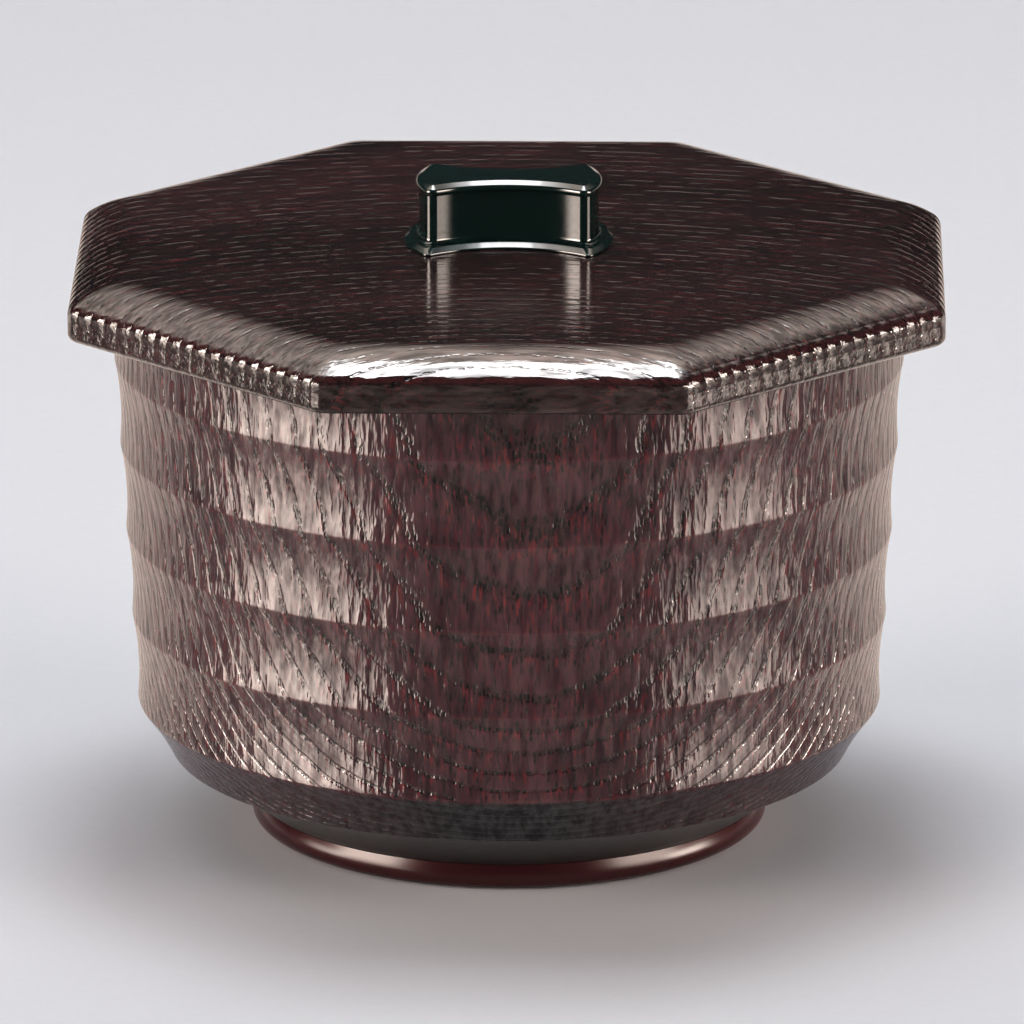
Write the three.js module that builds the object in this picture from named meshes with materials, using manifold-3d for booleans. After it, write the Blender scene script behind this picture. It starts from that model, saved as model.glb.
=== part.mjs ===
import * as THREE from 'three';
import { mergeVertices } from 'three/addons/utils/BufferGeometryUtils.js';
import Module from 'manifold-3d';

const wasm = await Module();
wasm.setup();

// Millimetres, +Z up, the bowl's axis on Z and its foot on z = 0.

// Fit between the pieces
const bondGap = 0.1;
const seatGap = 0.3;
const locatingPlay = 0.5;
const screwPlay = 0.3;

// Foot ring
const footRadius = 59.9;
const footHeight = 6.3;
const footWidth = 8.8;
const footFlatWidth = 4.8;
const footTopInset = 0.9;
const footInnerRound = 0.6;
const tongueWidth = 3;
const tongueHeight = 1;

// Bowl wall, scooped into level flutes that meet in ridges
const fluteCount = 5;
const flutePitch = 20.45;
const fluteHollow = 0.75;
const lowestRidgeRadius = 86.2;
const lowestRidgeHeight = 29.9;
const flarePerFlute = 1.23;
const rimWall = 4.3;
const rimRound = 0.8;

// Bowl underbody and inside
const lowerEdgeRadius = 78.8;
const lowerEdgeHeight = 18.4;
const underbodyBulge = -0.4;
const coveDepth = 0.7;
const floorThickness = 5.6;
const insideCornerRadius = 30;
const insideTaper = 3.6;

// Lid, its skirt hanging clear of the bowl's rim
const skirtClearance = 4.65;
const lidSides = 8;
const lidWall = 3;
const skirtOverlap = 7.05;
const bandHeight = 4.25;
const bandEdgeRound = 1.8;
const shoulderRadius = 3.7;
const shoulderEnd = 54;
const pillowRadius = 22;
const crownSlope = 0.4;
const planCorner = 6;
const planCornerGrowth = 1.2;
const roundestPlan = 0.97;

// Locating ring and flat seat beneath the lid
const locatingRingWall = 2.6;
const locatingRingDepth = 8;
const locatingRingRound = 0.6;
const seatEmbed = 0.75;

// Knob, a bow tie seen from above
const knobLength = 48.2;
const knobWaist = 18.2;
const knobSideRadius = 28.5;
const knobEndRadius = 26;
const knobCornerRound = 1.4;
const knobHeight = 15.35;
const knobBaseThickness = 1.4;
const knobTopThickness = 2.2;
const knobTopInset = 2.7;
const knobTopRound = 0.8;
const knobTopSlope = 30;
const knobGripInset = 4.2;
const knobBaseFillet = 2;
const knobTopFillet = 1;
const knobLandMargin = 2;

// Knob screws and washers
const screwSpacing = 22;
const screwRadius = 1.5;
const screwLength = 12;
const screwHeadRadius = 3;
const screwHeadHeight = 2;
const screwHeadRound = 1;
const crossWidth = 0.9;
const crossLength = 3.6;
const crossDepth = 1.1;
const washerRadius = 4;
const washerThickness = 0.8;

// Roundness of the turned and lofted shapes
const turnSegments = 56;
const fluteSegments = 5;
const planCornerSegments = 4;
const smallTurnSegments = 20;

// Places that follow from the sizes above
const bowlHeight = lowestRidgeHeight + fluteCount * flutePitch;
const rimRadius = lowestRidgeRadius + fluteCount * flarePerFlute;
const mouthRadius = rimRadius - rimWall;
const footInnerRadius = footRadius - footWidth;
const footTopRadius = footRadius - footTopInset;
const footFlatInner = footInnerRadius + footInnerRound;
const footFlatOuter = footFlatInner + footFlatWidth;
const tongueInner = footInnerRadius + (footWidth - tongueWidth) / 2;
const tongueOuter = tongueInner + tongueWidth;
const underside = footHeight + bondGap;
const floorHeight = underside + floorThickness;
const lidBottom = bowlHeight - skirtOverlap;
const lidSeat = bowlHeight + seatGap;
const lidHalf = rimRadius + skirtClearance + lidWall;

const radians = THREE.MathUtils.degToRad;
const point = (x, y) => new THREE.Vector2(x, y);

// Points on an arc, angles in degrees from the outward direction up towards +Z
function arc(centre, radius, from, to, segments) {
  const points = [];
  for (let i = 0; i <= segments; i += 1) {
    const angle = radians(from + (to - from) * (i / segments));
    points.push(point(centre.x + radius * Math.cos(angle), centre.y + radius * Math.sin(angle)));
  }
  return points;
}

// A shallow bow between two points, swelling to the right of the way from a to b
function bow(a, b, rise, segments) {
  const side = point(b.y - a.y, a.x - b.x).normalize();
  const points = [];
  for (let i = 0; i <= segments; i += 1) {
    const t = i / segments;
    const swell = 4 * rise * t * (1 - t);
    points.push(a.clone().lerp(b, t).addScaledVector(side, swell));
  }
  return points;
}

// A turned body: the profile runs from the axis, or closes on itself, and is turned about Z
function turned(profile, segments) {
  const distinct = profile.filter((p, i) => i === 0 || p.distanceTo(profile[i - 1]) > 1e-4);
  return new THREE.LatheGeometry(distinct, segments).rotateX(Math.PI / 2);
}

function closed(profile) {
  return [...profile, profile[0].clone()];
}

// A lofted body: rings of the same number of points, anticlockwise, each capped by a fan at its end
function lofted(rings) {
  const count = rings[0].length;
  const positions = [];
  const indices = [];
  for (const ring of rings) {
    for (const p of ring) {
      positions.push(p.x, p.y, p.z);
    }
  }
  for (let k = 0; k < rings.length - 1; k += 1) {
    for (let i = 0; i < count; i += 1) {
      const next = (i + 1) % count;
      const a = k * count + i;
      const b = k * count + next;
      const c = a + count;
      const d = b + count;
      indices.push(a, b, d, a, d, c);
    }
  }
  const last = (rings.length - 1) * count;
  const first = positions.length / 3;
  positions.push(0, 0, rings[0][0].z, 0, 0, rings[rings.length - 1][0].z);
  for (let i = 0; i < count; i += 1) {
    const next = (i + 1) % count;
    indices.push(first, next, i);
    indices.push(first + 1, last + i, last + next);
  }
  const geometry = new THREE.BufferGeometry();
  geometry.setAttribute('position', new THREE.Float32BufferAttribute(positions, 3));
  geometry.setIndex(indices);
  return geometry;
}

function solid(geometry) {
  const bare = geometry.clone();
  bare.deleteAttribute('normal');
  bare.deleteAttribute('uv');
  const merged = mergeVertices(bare, 1e-4);
  const mesh = new wasm.Mesh({
    numProp: 3,
    vertProperties: new Float32Array(merged.attributes.position.array),
    triVerts: new Uint32Array(merged.index.array),
  });
  return new wasm.Manifold(mesh);
}

function geometryOf(body) {
  const mesh = body.getMesh();
  const geometry = new THREE.BufferGeometry();
  geometry.setAttribute('position', new THREE.BufferAttribute(mesh.vertProperties, 3));
  geometry.setIndex(new THREE.BufferAttribute(mesh.triVerts, 1));
  geometry.computeVertexNormals();
  return geometry;
}

// An upright cylinder from one height to another
function rod(x, radius, bottom, top) {
  const geometry = new THREE.CylinderGeometry(radius, radius, top - bottom, smallTurnSegments);
  geometry.rotateX(Math.PI / 2);
  geometry.translate(x, 0, (top + bottom) / 2);
  return solid(geometry);
}

// Foot ring: a plump wall outside, a flat to stand on, and a tongue that locates it under the bowl
function footRing() {
  const beadMiddle = footHeight / 2;
  const flatEdge = point(footFlatOuter, 0);
  const topEdge = point(footTopRadius, footHeight);
  const bead = new THREE.CubicBezierCurve(
    flatEdge,
    point(footRadius + footWidth / 8, beadMiddle / 4),
    point(footRadius, footHeight - beadMiddle * 2 / 3),
    topEdge,
  ).getPoints(7);
  const innerRound = arc(
    point(footInnerRadius + footInnerRound, footInnerRound), footInnerRound, 180, 270, 3);
  return turned(closed([
    ...bead,
    point(tongueOuter, footHeight),
    point(tongueOuter, footHeight + tongueHeight),
    point(tongueInner, footHeight + tongueHeight),
    point(tongueInner, footHeight),
    point(footInnerRadius, footHeight),
    ...innerRound,
  ]), turnSegments);
}

// Inside wall radius at a height, on the straight tapered part
function insideRadius(height) {
  return mouthRadius - (bowlHeight - height) * Math.tan(radians(insideTaper));
}

// Bowl: flutes and ridges outside, smooth taper and rounded corner inside, groove for the foot's tongue
function bowlBody() {
  const grooveInner = tongueInner - bondGap;
  const grooveOuter = tongueOuter + bondGap;
  const grooveTop = underside + tongueHeight;
  const lowerEdge = point(lowerEdgeRadius, lowerEdgeHeight);
  const footEdge = point(footTopRadius, underside);
  const lowestRidge = point(lowestRidgeRadius, lowestRidgeHeight);
  const outside = [
    point(0, underside),
    point(grooveInner, underside),
    point(grooveInner, grooveTop),
    point(grooveOuter, grooveTop),
    point(grooveOuter, underside),
    ...bow(footEdge, lowerEdge, -coveDepth, 4),
    ...bow(lowerEdge, lowestRidge, underbodyBulge, 4),
  ];
  for (let i = 0; i < fluteCount; i += 1) {
    const low = point(lowestRidgeRadius + i * flarePerFlute, lowestRidgeHeight + i * flutePitch);
    const high = point(low.x + flarePerFlute, low.y + flutePitch);
    outside.push(...bow(low, high, -fluteHollow, fluteSegments));
  }
  outside.pop();
  const rim = [
    ...arc(point(rimRadius - rimRound, bowlHeight - rimRound), rimRound, 0, 90, 2),
    ...arc(point(mouthRadius + rimRound, bowlHeight - rimRound), rimRound, 90, 180 + insideTaper, 2),
  ];
  const cornerHeight = floorHeight + insideCornerRadius;
  const taper = radians(insideTaper);
  const touchHeight = cornerHeight - insideCornerRadius * Math.sin(taper);
  const cornerCentre = point(
    insideRadius(touchHeight) - insideCornerRadius * Math.cos(taper), cornerHeight);
  const corner = arc(cornerCentre, insideCornerRadius, -insideTaper, -90, 8);
  return turned([...outside, ...rim, ...corner, point(0, floorHeight)], turnSegments);
}

// Arcs that make up the lid's section, from its lower edge to the flat under the knob
const bandTop = lidBottom + bandEdgeRound + bandHeight;
const edgeCentre = point(lidHalf - bandEdgeRound, lidBottom + bandEdgeRound);
const shoulderCentre = point(lidHalf - shoulderRadius, bandTop);
const shoulderTop = arc(shoulderCentre, shoulderRadius, shoulderEnd, shoulderEnd, 1)[0];
const pillowCentre = point(
  shoulderTop.x - pillowRadius * Math.cos(radians(shoulderEnd)),
  shoulderTop.y - pillowRadius * Math.sin(radians(shoulderEnd)),
);
const pillowTop = arc(pillowCentre, pillowRadius, 90 - crownSlope, 90 - crownSlope, 1)[0];
const landRadius = knobLength / 2 + knobLandMargin;
const crownRadius = (pillowTop.x - landRadius) / Math.sin(radians(crownSlope));
const crownCentre = point(landRadius, pillowTop.y - crownRadius * Math.cos(radians(crownSlope)));
const landHeight = crownCentre.y + crownRadius;
const plateUnderside = landHeight - lidWall;

// One level outline of the lid: an eight-sided figure whose corners grow rounder towards the middle
function lidRing(half, corner, height) {
  const turn = (2 * Math.PI) / lidSides;
  const reach = (half - corner) / Math.cos(turn / 2);
  const ring = [];
  for (let side = 0; side < lidSides; side += 1) {
    const middle = turn * (side + 0.5);
    for (let i = 0; i <= planCornerSegments; i += 1) {
      const angle = turn * (side + i / planCornerSegments);
      ring.push(new THREE.Vector3(
        reach * Math.cos(middle) + corner * Math.cos(angle),
        reach * Math.sin(middle) + corner * Math.sin(angle),
        height,
      ));
    }
  }
  return ring;
}

function planCornerAt(half) {
  return Math.min(half * roundestPlan, planCorner + (lidHalf - half) * planCornerGrowth);
}

// The lid's section at some depth below its outer skin, as level outlines from the band up to the flat
function lidSkin(depth) {
  const arcs = [
    ...arc(shoulderCentre, shoulderRadius - depth, 0, shoulderEnd, 4),
    ...arc(pillowCentre, pillowRadius - depth, shoulderEnd, 90 - crownSlope, 6).slice(1),
    ...arc(crownCentre, crownRadius - depth, 90 - crownSlope, 90, 3).slice(1),
  ];
  return arcs.map((p) => lidRing(p.x, planCornerAt(p.x + depth) - depth * (p.x / lidHalf), p.y));
}

// Lid: a hollow eight-sided cap with a round seat and locating ring moulded beneath it
function lidPanel() {
  const lowerEdge = arc(edgeCentre, bandEdgeRound, -90, 0, 3)
    .map((p) => lidRing(p.x, planCornerAt(lidHalf) - (lidHalf - p.x), p.y));
  const innerHalf = lidHalf - lidWall;
  const innerLow = lidRing(innerHalf, planCornerAt(lidHalf) - lidWall, lidBottom);
  const inside = lidSkin(lidWall).reverse();
  const cap = solid(lofted([...inside, innerLow, ...lowerEdge, ...lidSkin(0)]));

  const ringBottom = lidSeat - seatGap - locatingRingDepth;
  const ringOuter = insideRadius(ringBottom) - locatingPlay;
  const ringInner = ringOuter - locatingRingWall;
  const ringTop = pillowTop.y - lidWall * seatEmbed;
  const ring = solid(turned(closed([
    point(ringInner, ringBottom + locatingRingRound),
    point(ringInner + locatingRingRound, ringBottom),
    point(ringOuter - locatingRingRound, ringBottom),
    point(ringOuter, ringBottom + locatingRingRound),
    point(ringOuter, lidSeat),
    point(rimRadius, lidSeat),
    point(rimRadius, ringTop),
    point(ringInner, ringTop),
  ]), turnSegments));

  const holeRadius = screwRadius + screwPlay;
  const holes = [-1, 1].map((side) => (
    rod(side * screwSpacing / 2, holeRadius, plateUnderside - lidWall, landHeight + lidWall)));
  return geometryOf(cap.add(ring).subtract(holes[0]).subtract(holes[1]));
}

// Where two circles cross, on the side of larger x
function crossing(a, radiusA, b, radiusB) {
  const span = b.clone().sub(a);
  const apart = span.length();
  const along = (apart * apart + radiusA * radiusA - radiusB * radiusB) / (2 * apart);
  const across = Math.sqrt(radiusA * radiusA - along * along);
  const way = span.divideScalar(apart);
  const one = point(a.x + way.x * along - way.y * across, a.y + way.y * along + way.x * across);
  const two = point(a.x + way.x * along + way.y * across, a.y + way.y * along - way.x * across);
  return one.x > two.x ? one : two;
}

const bearing = (from, to) => THREE.MathUtils.radToDeg(Math.atan2(to.y - from.y, to.x - from.x));

// One level outline of the knob: bulging ends, hollow sides and rounded corners, drawn in by an inset
function knobRing(inset, height) {
  const sideCentre = point(0, knobWaist / 2 + knobSideRadius);
  const endCentre = point(knobLength / 2 - knobEndRadius, 0);
  const sideRadius = knobSideRadius + inset;
  const endRadius = knobEndRadius - inset;
  const corner = crossing(
    sideCentre, sideRadius + knobCornerRound, endCentre, endRadius - knobCornerRound);
  const endTurn = bearing(endCentre, corner);
  const sideTurn = bearing(sideCentre, corner);
  const quarter = [
    ...arc(endCentre, endRadius, 0, endTurn, 4),
    ...arc(corner, knobCornerRound, endTurn, sideTurn + 180, 3).slice(1),
    ...arc(sideCentre, sideRadius, sideTurn, -90, 5).slice(1),
  ];
  const back = quarter.slice(0, -1).reverse().map((p) => point(-p.x, p.y));
  const half = [...quarter, ...back];
  const front = half.slice(1, -1).reverse().map((p) => point(p.x, -p.y));
  return [...half, ...front].map((p) => new THREE.Vector3(p.x, p.y, height));
}

// Knob: base flange, filleted grip and a top flange that slopes down to its round edge
function lidKnob() {
  const bottom = landHeight + bondGap;
  const baseRound = knobBaseThickness / 2;
  const topUnderside = knobHeight - knobTopThickness;
  const topEdge = arc(point(knobTopInset + knobTopRound, topUnderside + knobTopRound),
    knobTopRound, 270, 90 + knobTopSlope, 4);
  const slopeFoot = topEdge[topEdge.length - 1];
  const slopeRun = (knobHeight - slopeFoot.y) / Math.tan(radians(knobTopSlope));
  const section = [
    ...arc(point(baseRound, baseRound), baseRound, 270, 90, 4),
    ...arc(point(knobGripInset - knobBaseFillet, knobBaseThickness + knobBaseFillet),
      knobBaseFillet, -90, 0, 4),
    ...arc(point(knobGripInset - knobTopFillet, topUnderside - knobTopFillet),
      knobTopFillet, 0, 90, 3),
    ...topEdge,
    point(slopeFoot.x + slopeRun, knobHeight),
  ];
  const distinct = section.filter((p, i) => i === 0 || p.distanceTo(section[i - 1]) > 1e-4);
  const body = solid(lofted(distinct.map((p) => knobRing(p.x, bottom + p.y))));
  const shankTop = screwSeat() + screwLength + screwPlay;
  const bores = [-1, 1].map((side) => (
    rod(side * screwSpacing / 2, screwRadius + screwPlay, bottom - knobHeight, shankTop)));
  return geometryOf(body.subtract(bores[0]).subtract(bores[1]));
}

// Height of the face under a screw's head, below the lid's plate and the washer
function screwSeat() {
  return plateUnderside - bondGap - washerThickness - bondGap;
}

function knobScrew(side) {
  const seat = screwSeat();
  const bottom = seat - screwHeadHeight;
  const profile = [
    point(0, bottom),
    ...arc(point(screwHeadRadius - screwHeadRound, bottom + screwHeadRound), screwHeadRound, -90, 0, 3),
    point(screwHeadRadius, seat),
    point(screwRadius, seat),
    point(screwRadius, seat + screwLength - screwRadius),
    point(0, seat + screwLength),
  ];
  const body = solid(turned(profile, smallTurnSegments));
  const arms = [0, 1].map((turn) => {
    const arm = new THREE.BoxGeometry(crossLength, crossWidth, 2 * crossDepth);
    arm.rotateZ(turn * Math.PI / 2);
    arm.translate(0, 0, bottom);
    return solid(arm);
  });
  const cross = arms[0].add(arms[1]);
  return geometryOf(body.subtract(cross).translate([side * screwSpacing / 2, 0, 0]));
}

function screwWasher(side) {
  const top = plateUnderside - bondGap;
  const bottom = top - washerThickness;
  const hole = screwRadius + screwPlay;
  const profile = closed([
    point(hole, bottom),
    point(washerRadius, bottom),
    point(washerRadius, top),
    point(hole, top),
  ]);
  return turned(profile, smallTurnSegments).translate(side * screwSpacing / 2, 0, 0);
}

const grainLacquer = new THREE.MeshStandardMaterial({ color: '#50302f', roughness: 0.3, metalness: 0 });
const smoothLacquer = new THREE.MeshStandardMaterial({ color: '#5f252a', roughness: 0.15, metalness: 0 });
const blackLacquer = new THREE.MeshStandardMaterial({ color: '#0c0e0f', roughness: 0.1, metalness: 0 });
const steel = new THREE.MeshStandardMaterial({ color: '#b9bbbd', roughness: 0.35, metalness: 1 });
const nylon = new THREE.MeshStandardMaterial({ color: '#dcd8cd', roughness: 0.6, metalness: 0 });

const assembly = new THREE.Group();

function place(name, geometry, material) {
  const mesh = new THREE.Mesh(geometry, material);
  mesh.name = name;
  assembly.add(mesh);
}

place('bowl_body', bowlBody(), grainLacquer);
place('foot_ring', footRing(), smoothLacquer);
place('lid_panel', lidPanel(), grainLacquer);
place('lid_knob', lidKnob(), blackLacquer);
place('knob_screw_left', knobScrew(-1), steel);
place('knob_screw_right', knobScrew(1), steel);
place('screw_washer_left', screwWasher(-1), nylon);
place('screw_washer_right', screwWasher(1), nylon);

export default assembly;
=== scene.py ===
import math
import bmesh
import bpy
from mathutils import Matrix, Vector


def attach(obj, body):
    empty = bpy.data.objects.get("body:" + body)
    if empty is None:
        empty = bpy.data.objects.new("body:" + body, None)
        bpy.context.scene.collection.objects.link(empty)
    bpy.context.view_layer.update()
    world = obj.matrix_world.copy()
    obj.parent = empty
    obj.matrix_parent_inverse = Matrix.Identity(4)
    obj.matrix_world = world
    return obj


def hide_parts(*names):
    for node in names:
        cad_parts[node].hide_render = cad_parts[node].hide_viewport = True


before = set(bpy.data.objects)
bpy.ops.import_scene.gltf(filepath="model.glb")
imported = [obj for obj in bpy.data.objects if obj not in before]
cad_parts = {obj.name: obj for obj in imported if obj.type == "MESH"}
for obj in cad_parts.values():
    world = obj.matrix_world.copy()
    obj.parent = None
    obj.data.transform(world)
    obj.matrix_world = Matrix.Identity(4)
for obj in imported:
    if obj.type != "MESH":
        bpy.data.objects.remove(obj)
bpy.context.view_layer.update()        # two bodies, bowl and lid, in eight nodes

mm = 0.001


# Drawing and selecting in edit mode

def deselectAll():
    if bpy.context.mode != "OBJECT":
        bpy.ops.object.mode_set(mode="OBJECT")
    bpy.ops.object.select_all(action="DESELECT")


def makeActive(piece):
    deselectAll()
    piece.select_set(True)
    bpy.context.view_layer.objects.active = piece


def editStart(piece):
    makeActive(piece)
    bpy.ops.object.mode_set(mode="EDIT")


def penDown(x, y, z):        # one vertex to draw from, made in edit mode
    bpy.ops.mesh.select_mode(type="VERT")
    bpy.ops.mesh.select_all(action="DESELECT")
    bpy.ops.mesh.primitive_plane_add(size=mm, location=(x * mm, y * mm, z * mm))
    bpy.ops.mesh.merge(type="CENTER")


def startPiece(name, x, y, z):        # a plane drawn together into the first vertex
    deselectAll()
    bpy.ops.mesh.primitive_plane_add(size=mm, location=(x * mm, y * mm, z * mm))
    piece = bpy.context.object
    piece.name = piece.data.name = name
    bpy.ops.object.transform_apply(location=True, rotation=True, scale=True)
    bpy.ops.object.mode_set(mode="EDIT")
    bpy.ops.mesh.select_mode(type="VERT")
    bpy.ops.mesh.select_all(action="SELECT")
    bpy.ops.mesh.merge(type="CENTER")
    return piece


def drawTo(pen, goal):        # straight line in the XZ section plane
    step = ((goal[0] - pen[0]) * mm, 0, (goal[1] - pen[1]) * mm)
    bpy.ops.mesh.extrude_region_move(TRANSFORM_OT_translate={"value": step})
    return goal


def drawBow(pen, goal, hollow, steps):        # arc in the section plane, hollow to the outside if positive
    chord = Vector((goal[0] - pen[0], goal[1] - pen[1]))
    half = chord.length / 2
    radius = (half * half + hollow * hollow) / (2 * abs(hollow))
    side = Vector((chord.y, -chord.x)).normalized() * math.copysign(1, hollow)
    middle = Vector(pen) + chord / 2 + side * (radius - abs(hollow))
    turn = math.copysign(2 * math.asin(half / radius), -hollow)
    bpy.ops.mesh.spin(steps=steps, angle=turn, axis=(0, 1, 0),
                      center=(middle.x * mm, 0, middle.y * mm))
    return goal


def drawRound(pen, centre, degrees, steps):        # arc about a centre, anticlockwise if positive
    bpy.ops.mesh.spin(steps=steps, angle=math.radians(degrees), axis=(0, 1, 0),
                      center=(centre[0] * mm, 0, centre[1] * mm))
    a = math.radians(degrees)
    dx, dz = pen[0] - centre[0], pen[1] - centre[1]
    return (centre[0] + dx * math.cos(a) - dz * math.sin(a),
            centre[1] + dx * math.sin(a) + dz * math.cos(a))


def turnRound(steps, x=0):        # the section is spun about an upright axis
    bpy.ops.mesh.select_all(action="SELECT")
    bpy.ops.mesh.spin(steps=steps, angle=2 * math.pi, axis=(0, 0, 1), center=(x * mm, 0, 0))
    bpy.ops.mesh.select_all(action="SELECT")
    bpy.ops.mesh.remove_doubles(threshold=0.01 * mm)
    bpy.ops.mesh.normals_make_consistent(inside=False)


def pick(piece, kind, test):        # selects verts, edges or faces that pass a test, places in mm
    bpy.ops.mesh.select_mode(type={"verts": "VERT", "edges": "EDGE", "faces": "FACE"}[kind])
    bpy.ops.mesh.select_all(action="DESELECT")
    mesh = bmesh.from_edit_mesh(piece.data)
    for item in getattr(mesh, kind):
        if test(item):
            item.select_set(True)
    mesh.select_flush_mode()
    bmesh.update_edit_mesh(piece.data)


def levelEdge(z, slack=0.01):        # test for an edge that lies level at a height
    return lambda e: all(abs(v.co.z / mm - z) < slack for v in e.verts)


def applyModifier(piece, kind, **settings):
    makeActive(piece)
    modifier = piece.modifiers.new(kind.title(), kind)
    for key, value in settings.items():
        setattr(modifier, key, value)
    bpy.ops.object.modifier_apply(modifier=modifier.name)


def smooth(piece, degrees):
    makeActive(piece)
    bpy.ops.object.shade_smooth_by_angle(angle=math.radians(degrees))


def paintFaces(piece, index, test):        # gives the faces that pass a test one of the piece's finishes
    for face in piece.data.polygons:
        if test(face.center / mm, face.normal):
            face.material_index = index


# Materials

def linear(hexCode):
    channels = [int(hexCode[i:i + 2], 16) / 255 for i in (1, 3, 5)]
    return [c / 12.92 if c <= 0.04045 else ((c + 0.055) / 1.055) ** 2.4 for c in channels] + [1]


def put(tree, kind, inputs=None, **settings):        # adds a node, fills its inputs, gives its outputs
    node = tree.nodes.new("ShaderNode" + kind)
    for key, value in settings.items():
        setattr(node, key, value)
    for key, value in (inputs or {}).items():
        if isinstance(value, bpy.types.NodeSocket):
            tree.links.new(value, node.inputs[key])
        else:
            node.inputs[key].default_value = value
    return node.outputs


def newMaterial(name):
    material = bpy.data.materials.new(name)
    material.use_nodes = True
    tree = material.node_tree
    tree.nodes.clear()
    place = put(tree, "TexCoord")["Object"]
    return material, tree, place


def closeMaterial(tree, **shader):
    inputs = {key.replace("_", " "): value for key, value in shader.items()}
    surface = put(tree, "BsdfPrincipled", inputs)["BSDF"]
    put(tree, "OutputMaterial", {"Surface": surface})


bowlGrain = {        # sizes in mm, cells as across, deep and along the fibre
    "pivot": 0,        # rings lie nearly flat, fibres run upright
    "ringWidth": 4.0, "rowWidth": 0.9, "lean": 0.13, "slant": 0.05,        # they lean forward and right
    "swell": 16, "swellFrom": 33, "swellLength": 18,        # the stem spreads towards the root
    "slow": (34, 34, 120), "wander": 3.2, "quick": (5, 5, 12), "shiver": 0.8, "cloud": (18, 18, 40),
    "bigPore": (0.9, 0.9, 2.2), "smallPore": (1.0, 1.0, 3.6), "fibre": (0.75, 0.75, 4), "rib": (1.8, 1.8, 8),
    "bigDepth": 0.06, "rowDepth": 0.05, "smallDepth": 0.02,
    "fibreDepth": 0.03, "ribDepth": 0.34, "waveDepth": 0.05, "rowShade": 0.35,
    # below paintedShadeBelow the grain is painted darker, as shade under the bowl's overhang
    "ridgeFrom": 29.9, "ridgePitch": 20.45, "ridgeRed": 0.18, "gloss": 0.08, "paintedShadeBelow": 29.4,
    "plain": "#432a30", "plainDark": "#372229", "red": "#762a2d", "dark": "#0b1011",
    "edge": None,
}
lidGrain = {
    "pivot": 178,        # rings bend about a point in front of the lid, fibres follow them
    "ringWidth": 4.2, "rowWidth": 0.6, "lean": 0.0, "slant": 0.1,
    "swell": 0,
    "slow": (34, 34, 120), "wander": 2.4, "quick": (5, 5, 16), "shiver": 0.9, "cloud": (40, 40, 90),
    "bigPore": (1.1, 1.1, 4.0), "smallPore": (0.9, 0.9, 6.0), "fibre": (0.7, 0.7, 12), "rib": (1.4, 1.4, 18),
    "bigDepth": 0.06, "rowDepth": 0.0, "smallDepth": 0.012,
    "fibreDepth": 0.022, "ribDepth": 0.07, "waveDepth": 0.035, "rowShade": 0.3,
    "ridgeFrom": 133.2, "ridgePitch": 80, "ridgeRed": 0.28, "gloss": 0.06, "paintedShadeBelow": 0,
    "plain": "#2e1f21", "plainDark": "#1e1718", "red": "#5a2627", "dark": "#090c0d",
    "edge": {"at": 132.2, "reach": 2.2, "rib": 0.2, "wave": 0.7},        # stands out over the rim's edge
}
growth = {        # shares of a row's and a ring's width, then how the pores scatter
    "rowOuter": 0.75, "rowInner": 0.25, "lateFrom": 0.35, "lateTo": 0.95,
    "bigScatter": 0.85, "smallScatter": 0.95, "smallLate": 0.5,
}
spans = {        # where noise and cells turn into grain
    "bigPore": {"From Min": 0.6, "From Max": 0.3}, "smallPore": {"From Min": 0.5, "From Max": 0.2},
    "chance": {"From Min": 0.3, "From Max": 0.1}, "cloud": {"From Min": 0.35, "From Max": 0.65},
    "streak": {"From Min": 0.5, "From Max": 0.68}, "crest": {"From Min": 0.5, "From Max": 0.64},
    "betweenFibres": {"From Min": 0.46, "From Max": 0.34},
    "betweenRibs": {"From Min": 0.47, "From Max": 0.35},
    "coat": {"From Min": 0.36, "From Max": 0.64},
    "ridge": {"From Min": 1.0, "From Max": 0.2},        # in mm
}
coat = {        # how the wiped black and the clear red lie on the grain, and how deep the painted shade under the bowl lies, from 0 to 1
    "redEarly": 0.2, "redLate": 0.8, "redCrest": 0.14, "smallShade": 0.8, "wipedFibre": 0.5, "wipedRib": 0.24,
    # painted shade under the bowl: lighter at the sides, deepest at the front and back
    "paintedShadeAtSides": 0.35, "paintedShadeAtFront": 0.97,
    "paintedShadeFadeFrom": 55, "paintedShadeFadeTo": 10, "paintedShadeSoft": 0.5,        # the painted shade's fade from the front to the sides and its soft top edge, these in mm
    "thin": 0.25, "thick": 0.8, "cloudRough": 0.06, "poreRough": 0.08,
}


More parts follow.
